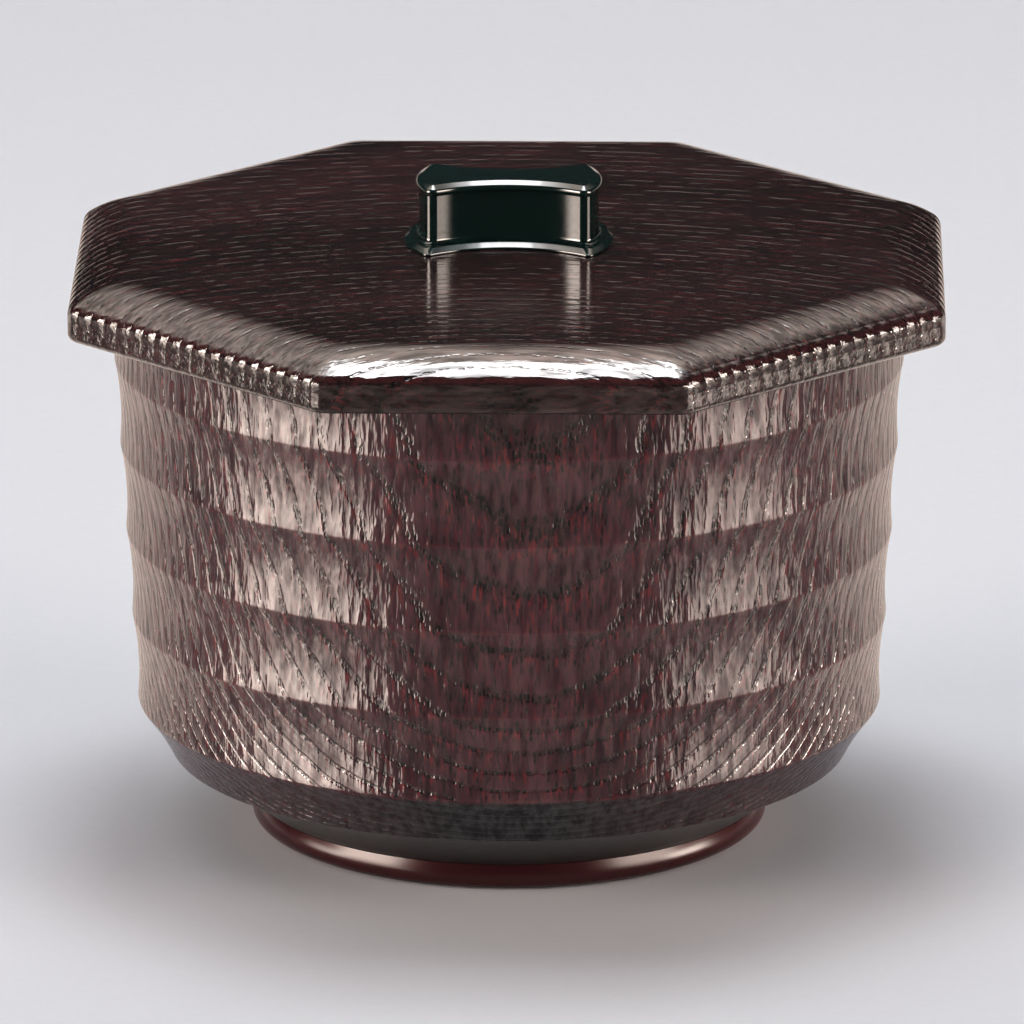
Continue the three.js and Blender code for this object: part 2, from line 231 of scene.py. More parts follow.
# Resin moulded with an oak-like grain, wiped black in the pores and sprayed with a clear red-brown lacquer:
# rows of deep pores along the rings, short black dashes between them, red where the coat is thin, wet gloss
def grainLacquer(name, grain):
    material, tree, place = newMaterial(name)
    p = put(tree, "Mapping", {"Vector": place, "Scale": (1 / mm, 1 / mm, 1 / mm)})[0]
    level = put(tree, "SeparateXYZ", {0: p})["Z"]
    if grain["pivot"]:        # rolls the arcs out straight
        flat = put(tree, "Mapping", {"Vector": place, "Location": (0, grain["pivot"], 0),
                                     "Scale": (1 / mm, 1 / mm, 0)})[0]
        reach = put(tree, "VectorMath", {0: flat}, operation="LENGTH")["Value"]
        turn = put(tree, "TexGradient", {"Vector": flat}, gradient_type="RADIAL")["Fac"]
        p = put(tree, "CombineXYZ", {"X": level, "Y": reach, "Z": turn})[0]
        p = put(tree, "VectorMath", {0: p, 1: (1, -1, 2 * math.pi * grain["pivot"])}, operation="MULTIPLY")[0]
    cells = {part: put(tree, "VectorMath", {0: p, 1: [1 / size for size in grain[part]]},
                       operation="MULTIPLY")[0]
             for part in ("slow", "quick", "cloud", "fibre", "rib", "bigPore", "smallPore")}
    slow, quick, cloud, fibre, rib = [
        put(tree, "TexNoise", {"Vector": cells[part], "Scale": 1, "Detail": 2})["Fac"]
        for part in ("slow", "quick", "cloud", "fibre", "rib")]

    # depth into the wood, then the place within one ring
    depth = put(tree, "VectorMath", {0: p, 1: (grain["slant"], -1, grain["lean"])},
                operation="DOT_PRODUCT")["Value"]
    depth = put(tree, "Math", {0: slow, 1: grain["wander"], 2: depth}, operation="MULTIPLY_ADD")[0]
    depth = put(tree, "Math", {0: quick, 1: grain["shiver"], 2: depth}, operation="MULTIPLY_ADD")[0]
    if grain["swell"]:
        root = put(tree, "Math", {0: level, 1: -1 / grain["swellLength"],
                                  2: grain["swellFrom"] / grain["swellLength"]}, operation="MULTIPLY_ADD")[0]
        root = put(tree, "Math", {0: root}, operation="EXPONENT")[0]
        depth = put(tree, "Math", {0: root, 1: -grain["swell"], 2: depth}, operation="MULTIPLY_ADD")[0]
    width = grain["ringWidth"]
    ring = put(tree, "Math", {0: depth, 1: width}, operation="FLOORED_MODULO")[0]
    near = put(tree, "Math", {0: depth, 1: width / 2}, operation="PINGPONG")[0]        # from the nearest row
    row = put(tree, "MapRange", {"Value": near, "From Min": grain["rowWidth"] * growth["rowOuter"],
                                 "From Max": grain["rowWidth"] * growth["rowInner"]},
              interpolation_type="SMOOTHSTEP")[0]
    late = put(tree, "MapRange", {"Value": ring, "From Min": growth["lateFrom"] * width,
                                  "From Max": growth["lateTo"] * width},
               interpolation_type="SMOOTHSTEP")[0]        # wood that leads up to a row

    # pores: big ones in the rows, small ones scattered and thicker towards a row
    big = put(tree, "TexVoronoi", {"Vector": cells["bigPore"], "Scale": 1,
                                   "Randomness": growth["bigScatter"]})
    bigPore = put(tree, "MapRange", {"Value": big["Distance"], **spans["bigPore"]},
                  interpolation_type="SMOOTHSTEP")[0]
    bigPore = put(tree, "Math", {0: bigPore, 1: row}, operation="MULTIPLY")[0]
    small = put(tree, "TexVoronoi", {"Vector": cells["smallPore"], "Scale": 1,
                                     "Randomness": growth["smallScatter"]})
    chance = put(tree, "SeparateColor", {0: small["Color"]})[0]
    chance = put(tree, "Math", {0: late, 1: -growth["smallLate"], 2: chance}, operation="MULTIPLY_ADD")[0]
    chance = put(tree, "MapRange", {"Value": chance, **spans["chance"]})[0]
    smallPore = put(tree, "MapRange", {"Value": small["Distance"], **spans["smallPore"]},
                    interpolation_type="SMOOTHSTEP")[0]
    smallPore = put(tree, "Math", {0: smallPore, 1: chance}, operation="MULTIPLY")[0]

    # colour: brown ground, red streaks and ridges, black pores
    share = put(tree, "MapRange", {"Value": cloud, **spans["cloud"]}, interpolation_type="SMOOTHSTEP")[0]
    colour = put(tree, "Mix", {0: share, 6: linear(grain["plainDark"]), 7: linear(grain["plain"])},
                 data_type="RGBA")[2]
    streak = put(tree, "MapRange", {"Value": fibre, **spans["streak"]}, interpolation_type="SMOOTHSTEP")[0]
    share = put(tree, "MapRange", {"Value": late, "To Min": coat["redEarly"], "To Max": coat["redLate"]})[0]
    share = put(tree, "Math", {0: streak, 1: share}, operation="MULTIPLY")[0]
    crest = put(tree, "MapRange", {"Value": rib, **spans["crest"], "To Max": coat["redCrest"]})[0]
    share = put(tree, "Math", {0: share, 1: crest}, operation="MAXIMUM")[0]
    off = put(tree, "Math", {0: level, 1: grain["ridgeFrom"]}, operation="SUBTRACT")[0]
    off = put(tree, "Math", {0: off, 1: grain["ridgePitch"] / 2}, operation="PINGPONG")[0]
    ridge = put(tree, "MapRange", {"Value": off, **spans["ridge"], "To Max": grain["ridgeRed"]},
                interpolation_type="SMOOTHSTEP")[0]
    share = put(tree, "Math", {0: share, 1: ridge}, operation="MAXIMUM")[0]
    colour = put(tree, "Mix", {0: share, 6: colour, 7: linear(grain["red"])}, data_type="RGBA")[2]
    pore = put(tree, "Math", {0: smallPore, 1: coat["smallShade"]}, operation="MULTIPLY")[0]
    pore = put(tree, "Math", {0: pore, 1: bigPore}, operation="MAXIMUM")[0]
    shade = put(tree, "Math", {0: row, 1: grain["rowShade"]}, operation="MULTIPLY")[0]
    pore = put(tree, "Math", {0: pore, 1: shade}, operation="MAXIMUM")[0]
    for part, between, share in [(fibre, "betweenFibres", coat["wipedFibre"]),
                                 (rib, "betweenRibs", coat["wipedRib"])]:
        wiped = put(tree, "MapRange", {"Value": part, **spans[between], "To Max": share})[0]
        pore = put(tree, "Math", {0: pore, 1: wiped}, operation="MAXIMUM")[0]
    side = put(tree, "SeparateXYZ", {0: p})["X"]
    side = put(tree, "Math", {0: side}, operation="ABSOLUTE")[0]
    # painted shade under the bowl, below a set height and strongest near the front and back
    shadeUnderBowl = put(tree, "MapRange", {"Value": level, "From Min": grain["paintedShadeBelow"] + coat["paintedShadeSoft"],
                                   "From Max": grain["paintedShadeBelow"] - coat["paintedShadeSoft"]})[0]
    front = put(tree, "MapRange", {"Value": side, "From Min": coat["paintedShadeFadeFrom"], "From Max": coat["paintedShadeFadeTo"],
                                   "To Min": coat["paintedShadeAtSides"], "To Max": coat["paintedShadeAtFront"]})[0]
    shadeUnderBowl = put(tree, "Math", {0: shadeUnderBowl, 1: front}, operation="MULTIPLY")[0]        # painted shade under the bowl, deepest at the front and back
    share = put(tree, "Math", {0: pore, 1: shadeUnderBowl}, operation="MAXIMUM")[0]
    colour = put(tree, "Mix", {0: share, 6: colour, 7: linear(grain["dark"])}, data_type="RGBA")[2]

    # relief in mm
    height = put(tree, "Math", {0: fibre, 1: grain["fibreDepth"]}, operation="MULTIPLY")[0]
    for part, size in [(rib, grain["ribDepth"]), (near, grain["waveDepth"] * 2 / width),
                       (row, -grain["rowDepth"]), (smallPore, -grain["smallDepth"]),
                       (bigPore, -grain["bigDepth"])]:
        height = put(tree, "Math", {0: part, 1: size, 2: height}, operation="MULTIPLY_ADD")[0]
    edge = grain["edge"]
    if edge:
        near = put(tree, "Math", {0: near, 1: quick}, operation="MULTIPLY")[0]        # uneven, bead by bead
        band = put(tree, "MapRange", {"Value": level, "From Min": edge["at"] - edge["reach"],
                                      "From Max": edge["at"] + edge["reach"], "To Max": 2})[0]
        band = put(tree, "Math", {0: band, 1: 1}, operation="PINGPONG")[0]
        for part, size in [(rib, edge["rib"]), (near, edge["wave"] * 2 / width)]:
            lift = put(tree, "Math", {0: part, 1: size}, operation="MULTIPLY")[0]
            height = put(tree, "Math", {0: lift, 1: band, 2: height}, operation="MULTIPLY_ADD")[0]
    normal = put(tree, "Bump", {"Strength": 1.0, "Distance": mm, "Height": height})[0]
    rough = put(tree, "MapRange", {"Value": cloud, "To Min": grain["gloss"],
                                   "To Max": grain["gloss"] + coat["cloudRough"]})[0]
    rough = put(tree, "Math", {0: pore, 1: coat["poreRough"], 2: rough}, operation="MULTIPLY_ADD")[0]
    shine = put(tree, "MapRange", {"Value": rib, **spans["coat"],
                                   "To Min": coat["thin"], "To Max": coat["thick"]})[0]
    closeMaterial(tree, Base_Color=colour, Roughness=rough, IOR=1.56, Specular_IOR_Level=shine, Normal=normal)
    return material


# Smooth moulded resin under the same red-brown lacquer: deep and even, half gloss, with a faint orange peel
def smoothLacquer():
    material, tree, place = newMaterial("redBrownLacquerSprayed")
    flow = put(tree, "TexNoise", {"Vector": place, "Scale": 1 / (40 * mm), "Detail": 3})["Fac"]
    peel = put(tree, "TexNoise", {"Vector": place, "Scale": 1 / (2.5 * mm), "Detail": 2})["Fac"]
    colour = put(tree, "Mix", {0: flow, 6: linear("#2b1213"), 7: linear("#3c1a1c")},
                 data_type="RGBA")[2]
    normal = put(tree, "Bump", {"Strength": 0.25, "Distance": 0.02 * mm, "Height": peel})[0]
    rough = put(tree, "MapRange", {"Value": flow, "To Min": 0.18, "To Max": 0.26})[0]
    closeMaterial(tree, Base_Color=colour, Roughness=rough, Specular_IOR_Level=0.22, Normal=normal)
    return material


# Black lacquer: mirror-like where it was buffed, duller where sprayed or wiped, with fine rub marks
def blackLacquer(name, gloss, dark, pale):
    material, tree, place = newMaterial(name)
    flow = put(tree, "TexNoise", {"Vector": place, "Scale": 1 / (30 * mm), "Detail": 3})["Fac"]
    rub = put(tree, "TexNoise", {"Vector": place, "Scale": 1 / (1.6 * mm), "Detail": 4})["Fac"]
    colour = put(tree, "Mix", {0: flow, 6: linear(dark), 7: linear(pale)},
                 data_type="RGBA")[2]
    normal = put(tree, "Bump", {"Strength": 0.12, "Distance": 0.02 * mm, "Height": rub})[0]
    rough = put(tree, "MapRange", {"Value": rub, "To Min": gloss, "To Max": gloss + 0.1})[0]
    closeMaterial(tree, Base_Color=colour, Roughness=rough, IOR=1.55, Normal=normal)
    return material


# Stainless steel, cold formed and tumbled: grey, faintly cloudy, with dents drawn coarser than real ones
def formedSteel():
    material, tree, place = newMaterial("stainlessSteelTumbled")
    cloud = put(tree, "TexNoise", {"Vector": place, "Scale": 1 / (1.2 * mm), "Detail": 4})["Fac"]
    colour = put(tree, "Mix", {0: cloud, 6: linear("#8d9092"), 7: linear("#c3c5c6")},
                 data_type="RGBA")[2]
    normal = put(tree, "Bump", {"Strength": 0.3, "Distance": 0.02 * mm, "Height": cloud})[0]
    rough = put(tree, "MapRange", {"Value": cloud, "To Min": 0.25, "To Max": 0.42})[0]
    closeMaterial(tree, Base_Color=colour, Metallic=1.0, Roughness=rough, Normal=normal)
    return material


# Nylon washer, punched from sheet: milky white, waxy, softly mottled
def nylonSheet():
    material, tree, place = newMaterial("nylonPunched")
    mottle = put(tree, "TexNoise", {"Vector": place, "Scale": 1 / (0.9 * mm), "Detail": 4})["Fac"]
    colour = put(tree, "Mix", {0: mottle, 6: linear("#cfcabd"), 7: linear("#e2ded3")},
                 data_type="RGBA")[2]
    normal = put(tree, "Bump", {"Strength": 0.3, "Distance": 0.03 * mm, "Height": mottle})[0]
    rough = put(tree, "MapRange", {"Value": mottle, "To Min": 0.45, "To Max": 0.6})[0]
    closeMaterial(tree, Base_Color=colour, Roughness=rough, IOR=1.53, Normal=normal)
    return material


bowlFinish = grainLacquer("grainResinLacqueredUpright", bowlGrain)
lidFinish = grainLacquer("grainResinLacqueredLevel", lidGrain)
redFinish = smoothLacquer()
insideFinish = blackLacquer("blackLacquerSprayed", 0.2, "#0a1112", "#0f1b1c")
coveFinish = blackLacquer("blackLacquerWiped", 0.4, "#0e1011", "#15181a")
# the knob's teal tint is painted into its black, standing in for a reflection of a pale surround
knobFinish = blackLacquer("blackLacquerBuffedPaintedSheen", 0.05, "#081615", "#0d2321")
steelFinish = formedSteel()
nylonFinish = nylonSheet()
print("materials made")


# Bowl: one section drawn from under the foot, up over the flutes and down the inside, then turned

bowl = {
    "underside": 6.4, "grooveInner": 53.9, "grooveOuter": 57.1, "grooveTop": 7.4,
    "footEdge": (59.0, 6.4), "lowerEdge": (78.8, 18.4), "lowestRidge": (86.2, 29.9),
    "coveHollow": 0.7, "underbodyHollow": 0.4, "coveSteps": 8,
    "flutes": 5, "pitch": 20.45, "flare": 1.23, "hollow": 0.75, "fluteSteps": 14,
    "rimWall": 4.3, "rimRound": 0.8, "rimDraw": 0.02, "rimSteps": 5, "taper": 3.6,
    "floor": 12.0, "cornerRadius": 30, "cornerSteps": 18, "edgeSoft": 0.3, "edgeSteps": 3,
    "turnSteps": 176, "smoothAngle": 40,
}


def makeBowl(b):
    piece = startPiece("bowlBody", 0, 0, b["underside"])
    pen = (0, b["underside"])
    for goal in [(b["grooveInner"], b["underside"]), (b["grooveInner"], b["grooveTop"]),
                 (b["grooveOuter"], b["grooveTop"]), (b["grooveOuter"], b["underside"]), b["footEdge"]]:
        pen = drawTo(pen, goal)
    pen = drawBow(pen, b["lowerEdge"], b["coveHollow"], b["coveSteps"])
    pen = drawBow(pen, b["lowestRidge"], b["underbodyHollow"], b["coveSteps"])
    ridges = [b["lowerEdge"], b["lowestRidge"]]
    for i in range(b["flutes"]):
        goal = (pen[0] + b["flare"], pen[1] + b["pitch"])
        if i == b["flutes"] - 1:        # the top flute stops where the rim's rounding starts
            goal = (goal[0] - b["rimDraw"], goal[1] - b["rimRound"])
        pen = drawBow(pen, goal, b["hollow"], b["fluteSteps"])
        if i < b["flutes"] - 1:
            ridges.append(goal)
    rimRadius = b["lowestRidge"][0] + b["flutes"] * b["flare"]
    rimHeight = b["lowestRidge"][1] + b["flutes"] * b["pitch"]
    pen = drawRound(pen, (pen[0] - b["rimRound"], pen[1]), 90, b["rimSteps"])
    pen = drawTo(pen, (rimRadius - b["rimWall"] + b["rimRound"], rimHeight))
    pen = drawRound(pen, (pen[0], pen[1] - b["rimRound"]), 90 + b["taper"], b["rimSteps"])
    taper = math.radians(b["taper"])
    cornerTop = b["floor"] + b["cornerRadius"] * (1 - math.sin(taper))
    wallFoot = pen[0] - (pen[1] - cornerTop) * math.tan(taper)
    pen = drawTo(pen, (wallFoot, cornerTop))
    corner = (wallFoot - b["cornerRadius"] * math.cos(taper), b["floor"] + b["cornerRadius"])
    pen = drawRound(pen, corner, -(90 - b["taper"]), b["cornerSteps"])
    drawTo(pen, (0, b["floor"]))
    pick(piece, "verts", lambda v: any(math.hypot(v.co.x / mm - r, v.co.z / mm - z) < 0.02
                                       for r, z in ridges))
    bpy.ops.mesh.bevel(offset=b["edgeSoft"] * mm, segments=b["edgeSteps"], affect="VERTICES")
    turnRound(b["turnSteps"])
    deselectAll()
    for finish in (bowlFinish, coveFinish, insideFinish):
        piece.data.materials.append(finish)
    # the underside down from its lower edge, then the floor and the inner wall
    paintFaces(piece, 1, lambda c, n: c.z < b["lowerEdge"][1] and n.z < 0.2)
    paintFaces(piece, 2, lambda c, n: c.z > b["floor"] - 0.1 and (c.x * n.x + c.y * n.y < 0 or n.z > 0.9))
    smooth(piece, b["smoothAngle"])
    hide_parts("bowl_body")
    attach(piece, "bowl")
    return piece


bowlPiece = makeBowl(bowl)
print("bowl turned,", len(bowlPiece.data.polygons), "faces")


# Foot ring: a plump bead with a standing flat, and a tongue up into the bowl's groove

foot = {
    "flatInner": 51.7, "flatOuter": 56.5, "innerRadius": 51.1, "innerRound": 0.6, "innerSteps": 4,
    "beadOut": (61.0, 0.79), "beadBack": (59.9, 4.2), "beadTop": (59.0, 6.3), "beadSteps": 18,
    "tongueInner": 54, "tongueOuter": 57, "tongueTop": 7.3, "turnSteps": 176, "smoothAngle": 40,
}


def makeFoot(f):
    height = f["beadTop"][1]
    start = Vector((f["flatOuter"], 0))
    points = []
    for i in range(1, f["beadSteps"] + 1):
        t = i / f["beadSteps"]
        point = (start * (1 - t) ** 3 + Vector(f["beadOut"]) * 3 * t * (1 - t) ** 2
                 + Vector(f["beadBack"]) * 3 * t * t * (1 - t) + Vector(f["beadTop"]) * t ** 3)
        points.append(tuple(point))
    points += [(f["tongueOuter"], height), (f["tongueOuter"], f["tongueTop"]),
               (f["tongueInner"], f["tongueTop"]), (f["tongueInner"], height),
               (f["innerRadius"], height), (f["innerRadius"], f["innerRound"])]
    piece = startPiece("footRing", start.x, 0, 0)
    pen = tuple(start)
    for goal in points:
        pen = drawTo(pen, goal)
    pen = drawRound(pen, (f["flatInner"], f["innerRound"]), 90, f["innerSteps"])
    drawTo(pen, tuple(start))
    turnRound(f["turnSteps"])
    deselectAll()
    piece.data.materials.append(redFinish)
    smooth(piece, f["smoothAngle"])
    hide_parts("foot_ring")
    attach(piece, "bowl")
    return piece


footPiece = makeFoot(foot)
print("foot ring turned,", len(footPiece.data.polygons), "faces")


# Lid: an eight-sided outline with rounded corners, drawn up ring by ring outside and then inside

lid = {
    "half": 100, "bottom": 125.1, "planCorner": 6, "cornerSteps": 8, "wall": 3,
    "edgeRound": 1.8, "edgeSteps": 5, "bandTop": 131.15,
    "shoulderRadius": 3.7, "shoulderEnd": 54, "shoulderSteps": 9, "pillowRadius": 22, "pillowSteps": 16,
    "margin": 83, "marginRise": 0.01, "crownHalf": 26, "crown": 138.552,
    "innerCorner": 131.507, "innerTopHalf": 91.717, "innerTop": 135.345,
    "ringInner": 84.45, "ringOuter": 87.05, "ringBottom": 124.15, "ringRound": 0.6, "ringSteps": 4,
    "seat": 132.45, "seatOuter": 92.35, "ringTop": 136.2,
    "holeAt": 11, "holeRadius": 1.8, "holeDepth": 12, "holeSteps": 32,
    "turnSteps": 128, "smoothAngle": 32, "faceWeight": 60,
}


def makeSeat(l):        # round seat and locating ring, turned on its own and then joined on
    piece = startPiece("lidSeat", l["ringInner"], 0, l["ringBottom"] + l["ringRound"])
    pen = (l["ringInner"], l["ringBottom"] + l["ringRound"])
    pen = drawRound(pen, (l["ringInner"] + l["ringRound"], pen[1]), 90, l["ringSteps"])
    pen = drawTo(pen, (l["ringOuter"] - l["ringRound"], l["ringBottom"]))
    pen = drawRound(pen, (pen[0], pen[1] + l["ringRound"]), 90, l["ringSteps"])
    for goal in [(l["ringOuter"], l["seat"]), (l["seatOuter"], l["seat"]), (l["seatOuter"], l["ringTop"]),
                 (l["ringInner"], l["ringTop"]), (l["ringInner"], l["ringBottom"] + l["ringRound"])]:
        pen = drawTo(pen, goal)
    turnRound(l["turnSteps"])
    deselectAll()
    return piece


def arcPoints(centre, radius, start, end, steps):
    turns = [math.radians(start + (end - start) * i / steps) for i in range(1, steps + 1)]
    return [(centre[0] + radius * math.cos(t), centre[1] + radius * math.sin(t)) for t in turns]


def drawUp(pen, goals):        # carries the selected outline from ring to ring, sized about the axis
    for half, z in goals:
        bpy.ops.mesh.extrude_region_move(TRANSFORM_OT_translate={"value": (0, 0, (z - pen[1]) * mm)})
        share = half / pen[0]
        bpy.ops.transform.resize(value=(share, share, 1), center_override=(0, 0, z * mm))
        pen = (half, z)
    return pen


def makeLid(l):
    deselectAll()
    inner = l["half"] - l["wall"]
    start = (inner, l["bottom"])
    bpy.ops.mesh.primitive_circle_add(vertices=8, radius=inner * mm / math.cos(math.pi / 8), fill_type="NGON",
                                      rotation=(0, 0, math.pi / 8), location=(0, 0, l["bottom"] * mm))
    piece = bpy.context.object
    piece.name = piece.data.name = "lidPanel"
    bpy.ops.object.transform_apply(location=True, rotation=True, scale=True)
    for finish in (lidFinish, insideFinish):
        piece.data.materials.append(finish)
    editStart(piece)
    bpy.ops.mesh.select_all(action="SELECT")
    corner = (l["planCorner"] - l["wall"] / 2) * math.tan(math.pi / 8)
    bpy.ops.mesh.bevel(offset=corner * mm, segments=l["cornerSteps"], affect="VERTICES")
    bpy.ops.mesh.select_all(action="SELECT")
    bpy.ops.mesh.delete(type="ONLY_FACE")
    bpy.ops.mesh.select_mode(type="EDGE")

    edge = (l["half"] - l["edgeRound"], l["bottom"] + l["edgeRound"])
    shoulder = (l["half"] - l["shoulderRadius"], l["bandTop"])
    turn = math.radians(l["shoulderEnd"])
    pillow = (shoulder[0] + (l["shoulderRadius"] - l["pillowRadius"]) * math.cos(turn),
              shoulder[1] + (l["shoulderRadius"] - l["pillowRadius"]) * math.sin(turn))
    outside = [(edge[0], l["bottom"])] + arcPoints(edge, l["edgeRound"], -90, 0, l["edgeSteps"])
    outside += [(l["half"], l["bandTop"])]
    outside += arcPoints(shoulder, l["shoulderRadius"], 0, l["shoulderEnd"], l["shoulderSteps"])
    outside += arcPoints(pillow, l["pillowRadius"], l["shoulderEnd"], 90, l["pillowSteps"])
    outside += [(l["margin"], pillow[1] + l["pillowRadius"] + l["marginRise"]), (l["crownHalf"], l["crown"])]
    pick(piece, "edges", levelEdge(l["bottom"]))
    drawUp(start, outside)
    bpy.ops.mesh.edge_face_add()
    pick(piece, "edges", lambda e: levelEdge(l["bottom"])(e) and len(e.link_faces) == 1)
    drawUp(start, [(inner, l["innerCorner"]), (l["innerTopHalf"], l["innerTop"])])
    bpy.ops.mesh.edge_face_add()
    bpy.ops.mesh.select_all(action="SELECT")
    bpy.ops.mesh.normals_make_consistent(inside=False)
    bpy.ops.object.mode_set(mode="OBJECT")
    # black inside: the ceiling and the inner walls
    paintFaces(piece, 1, lambda c, n: n.z < -0.5 and c.z > l["bottom"] + 1
               or (c.x * n.x + c.y * n.y < 0 and abs(n.z) < 0.5))
    seat = makeSeat(l)
    for finish in (lidFinish, insideFinish):
        seat.data.materials.append(finish)
    paintFaces(seat, 1, lambda c, n: True)
    applyModifier(piece, "BOOLEAN", operation="UNION", solver="EXACT", object=seat)
    bpy.data.objects.remove(seat)
    for side in (-1, 1):
        deselectAll()
        bpy.ops.mesh.primitive_cylinder_add(vertices=l["holeSteps"], radius=l["holeRadius"] * mm,
                                            depth=l["holeDepth"] * mm,
                                            location=(side * l["holeAt"] * mm, 0, l["crown"] * mm))
        drill = bpy.context.object
        applyModifier(piece, "BOOLEAN", operation="DIFFERENCE", solver="EXACT", object=drill)
        bpy.data.objects.remove(drill)
    smooth(piece, l["smoothAngle"])
    applyModifier(piece, "WEIGHTED_NORMAL", keep_sharp=True, weight=l["faceWeight"])
    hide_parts("lid_panel")
    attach(piece, "lid")
    return piece


lidPiece = makeLid(lid)
print("lid shaped,", len(lidPiece.data.polygons), "faces")


# Knob: a bow tie in plan, one quarter drawn and mirrored twice, with a base flange and a lipped top

knob = {
    "bottom": 138.652, "height": 15.348, "length": 48.2, "waist": 18.2, "sideRadius": 28.5, "endRadius": 26,
    "cornerRound": 1.4, "upperRound": 2.0, "base": 1.4, "baseDrop": 0.96, "baseSoft": 0.15,
    "gripInset": 4.2, "gripEnd": 0.8, "top": 2.2, "topInset": 2.7,
    "slopeRun": 1.62, "slopeDrop": 0.938, "topRound": 0.78, "baseFillet": 1.2, "topFillet": 0.6,
    "endSteps": 12, "cornerSteps": 7, "sideSteps": 16, "ledgeCuts": 2, "smoothAngle": 24, "faceWeight": 60,
}


def knobQuarter(k, inset, z, longer, r):        # end arc, corner and hollow side, X axis to Y axis
    side = Vector((0, k["waist"] / 2 + k["sideRadius"]))
    end = Vector((k["length"] / 2 - k["endRadius"], 0))
    sideRadius = k["sideRadius"] + inset
    endRadius = k["endRadius"] - inset + longer
    span = end - side
    along = (span.length_squared + (sideRadius + r) ** 2 - (endRadius - r) ** 2) / (2 * span.length)
    across = math.sqrt((sideRadius + r) ** 2 - along ** 2)
    way = span.normalized()
    corner = side + way * along + Vector((-way.y, way.x)) * across
    endTurn = math.atan2(corner.y - end.y, corner.x - end.x)
    sideTurn = math.atan2(corner.y - side.y, corner.x - side.x)
    penDown(end.x + endRadius, 0, z)
    for centre, turn, steps in [(end, endTurn, k["endSteps"]),
                                (corner, sideTurn + math.pi - endTurn, k["cornerSteps"]),
                                (side, -math.pi / 2 - sideTurn, k["sideSteps"])]:
        bpy.ops.mesh.spin(steps=steps, angle=turn, axis=(0, 0, -1),
                          center=(centre.x * mm, centre.y * mm, z * mm))


def makeKnob(k):
    z = k["bottom"]
    gripTop = z + k["height"] - k["top"]
    piece = startPiece("lidKnob", 0, 0, z)
    bpy.ops.mesh.delete(type="VERT")
    levels = [(0, z, k["base"], 0, k["cornerRound"]),
              (k["gripInset"], z + k["base"], gripTop - z - k["base"], k["gripEnd"], k["upperRound"]),
              (k["topInset"], gripTop, k["top"] - k["slopeDrop"], 0, k["upperRound"])]
    for inset, height, rise, longer, corner in levels:        # three upright walls
        knobQuarter(k, inset, height, longer, corner)
        pick(piece, "edges", lambda e: e.is_wire)
        bpy.ops.mesh.extrude_region_move(TRANSFORM_OT_translate={"value": (0, 0, rise * mm)})
    for height, cuts in [(z + k["base"], k["ledgeCuts"]), (gripTop, 0)]:        # and the ledges between them
        pick(piece, "edges", levelEdge(height))
        bpy.ops.mesh.bridge_edge_loops(number_cuts=cuts, interpolation="LINEAR")
    bpy.ops.object.mode_set(mode="OBJECT")
    applyModifier(piece, "MIRROR", use_axis=(True, True, False), merge_threshold=0.005 * mm)
    editStart(piece)
    slopeFoot = z + k["height"] - k["slopeDrop"]
    for height in (z, slopeFoot):
        pick(piece, "edges", levelEdge(height))
        bpy.ops.mesh.edge_face_add()
    bpy.ops.mesh.normals_make_consistent(inside=False)
    pick(piece, "faces", lambda f: f.calc_center_median().z / mm > slopeFoot - 0.01)
    bpy.ops.mesh.inset(thickness=k["slopeRun"] * mm, depth=k["slopeDrop"] * mm)
    bpy.ops.mesh.select_all(action="SELECT")
    bpy.ops.mesh.remove_doubles(threshold=0.005 * mm)
    bpy.ops.mesh.normals_make_consistent(inside=False)

    def rimAt(height, outer):        # the level loop at a height, the outer one or the grip's own
        def test(e):
            if not levelEdge(height)(e) or len(e.link_faces) != 2:
                return False
            upright = [f for f in e.link_faces if abs(f.normal.z) < 0.5]
            return len(upright) == 1 and (e.calc_face_angle_signed() > 0) == outer
        return test

    pick(piece, "edges", rimAt(z + k["base"], True))        # the flange slopes down to a thin rim
    bpy.ops.transform.translate(value=(0, 0, -k["baseDrop"] * mm))
    baseRim = z + k["base"] - k["baseDrop"]
    slopeSoft = k["topRound"] * math.tan(math.atan2(k["slopeRun"], k["slopeDrop"]) / 2)
    rounds = [(z, True, k["baseSoft"], 4), (baseRim, True, k["baseSoft"], 4),
              (z + k["base"], False, k["baseFillet"], 6), (gripTop, False, k["topFillet"], 5),
              (gripTop, True, k["topRound"], 6), (slopeFoot, True, slopeSoft, 5)]
    for height, outer, size, steps in rounds:
        pick(piece, "edges", rimAt(height, outer))
        bpy.ops.mesh.bevel(offset=size * mm, segments=steps, affect="EDGES", clamp_overlap=False)
    deselectAll()
    piece.data.materials.append(knobFinish)
    smooth(piece, k["smoothAngle"])
    applyModifier(piece, "WEIGHTED_NORMAL", keep_sharp=True, weight=k["faceWeight"])
    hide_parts("lid_knob")
    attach(piece, "lid")
    return piece


knobPiece = makeKnob(knob)
print("knob shaped,", len(knobPiece.data.polygons), "faces")


# Screws and washers that hold the knob, seen from under the lid

screw = {
    "at": 11, "seat": 134.552, "radius": 1.5, "length": 12, "headRadius": 3, "headHeight": 2, "headRound": 1,
    "headSteps": 6, "crossWidth": 0.9, "crossLength": 3.6, "crossDepth": 1.1,
    "turnSteps": 40, "smoothAngle": 30,
    "washerRadius": 4, "washerHole": 1.8, "washerBottom": 134.652, "washerTop": 135.452, "washerSoft": 0.15,
    "washerSteps": 3, "washerAngle": 40,
}


def copyTo(piece, name, shift):        # a copy with its own mesh, moved and applied
    makeActive(piece)
    bpy.ops.object.duplicate(linked=False)
    copy = bpy.context.object
    copy.name = copy.data.name = name
    bpy.ops.transform.translate(value=(shift * mm, 0, 0))
    bpy.ops.object.transform_apply(location=True, rotation=False, scale=False)
    return copy


